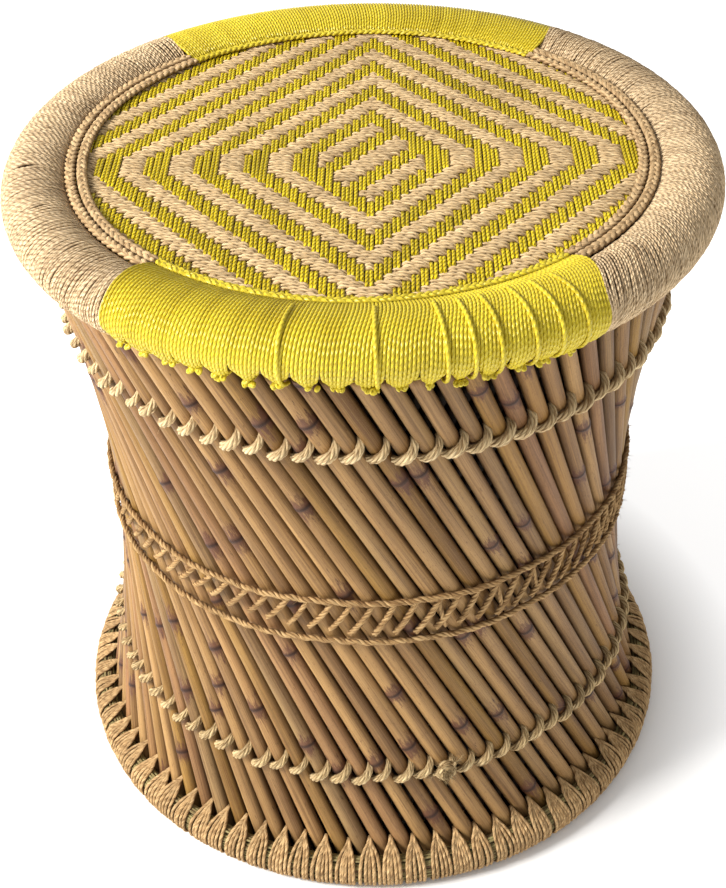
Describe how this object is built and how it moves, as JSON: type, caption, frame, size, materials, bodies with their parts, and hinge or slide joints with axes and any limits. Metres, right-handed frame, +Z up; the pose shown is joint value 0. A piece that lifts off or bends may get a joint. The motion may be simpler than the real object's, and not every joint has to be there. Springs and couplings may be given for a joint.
{
  "type": "mudda stool",
  "caption": "Round cane stool, drawn in at the waist, with a roped rim and foot ring and a flat seat woven in nested diamonds of jute and yellow cord.",
  "frame": {"origin": "on the floor under the middle of the stool", "axes": "+Z up through the middle of the seat; the front, where the picture was taken from, is towards -Y; the seat's yellow cords run along Y and its jute cords along X"},
  "size_m": [0.3998, 0.3998, 0.4175],
  "materials": {
    "jute_cord": "matt natural jute cord, wound, plaited or woven",
    "yellow_cord": "glossy citron yellow nylon cord",
    "cane": "dry golden reed with a satin skin, purple-brown at its nodes",
    "inner_cane": "dry reed, darker",
    "straw": "matt bundle of dry grass stalks",
    "knot_cord": "matt pale two-ply grass rope",
    "waist_rope": "matt brown twisted jute rope"
  },
  "bodies": {
    "root": {"rim_core": "straw", "rim_wrap_yellow_back": "yellow_cord", "rim_wrap_jute_left": "jute_cord", "rim_wrap_yellow_front": "yellow_cord", "rim_wrap_jute_right": "jute_cord", "outer_canes_01": "cane", "outer_canes_02": "cane", "outer_canes_03": "cane", "outer_canes_04": "cane", "outer_canes_05": "cane", "outer_canes_06": "cane", "outer_canes_07": "cane", "outer_canes_08": "cane", "outer_canes_09": "cane", "outer_canes_10": "cane", "outer_canes_11": "cane", "outer_canes_12": "cane", "outer_canes_13": "cane", "outer_canes_14": "cane", "inner_canes_01": "inner_cane", "inner_canes_02": "inner_cane", "inner_canes_03": "inner_cane", "inner_canes_04": "inner_cane", "inner_canes_05": "inner_cane", "inner_canes_06": "inner_cane", "inner_canes_07": "inner_cane", "inner_canes_08": "inner_cane", "inner_canes_09": "inner_cane", "inner_canes_10": "inner_cane", "inner_canes_11": "inner_cane", "inner_canes_12": "inner_cane", "inner_canes_13": "inner_cane", "top_hoop": "inner_cane", "upper_lashing": "knot_cord", "lower_lashing": "knot_cord", "waist_rope_upper": "waist_rope", "waist_rope_lower": "waist_rope", "waist_cross_lashing": "waist_rope", "foot_core": "straw", "foot_binding_01": "jute_cord", "foot_binding_02": "jute_cord", "foot_binding_03": "jute_cord", "foot_binding_04": "jute_cord", "foot_binding_05": "jute_cord", "foot_binding_06": "jute_cord", "foot_binding_07": "jute_cord", "seat_jute_cords": "jute_cord", "seat_yellow_cords": "yellow_cord", "braid_yellow_back": "yellow_cord", "braid_jute_left": "jute_cord", "braid_yellow_front": "yellow_cord", "braid_jute_right": "jute_cord"}
  },
  "joints": []
}
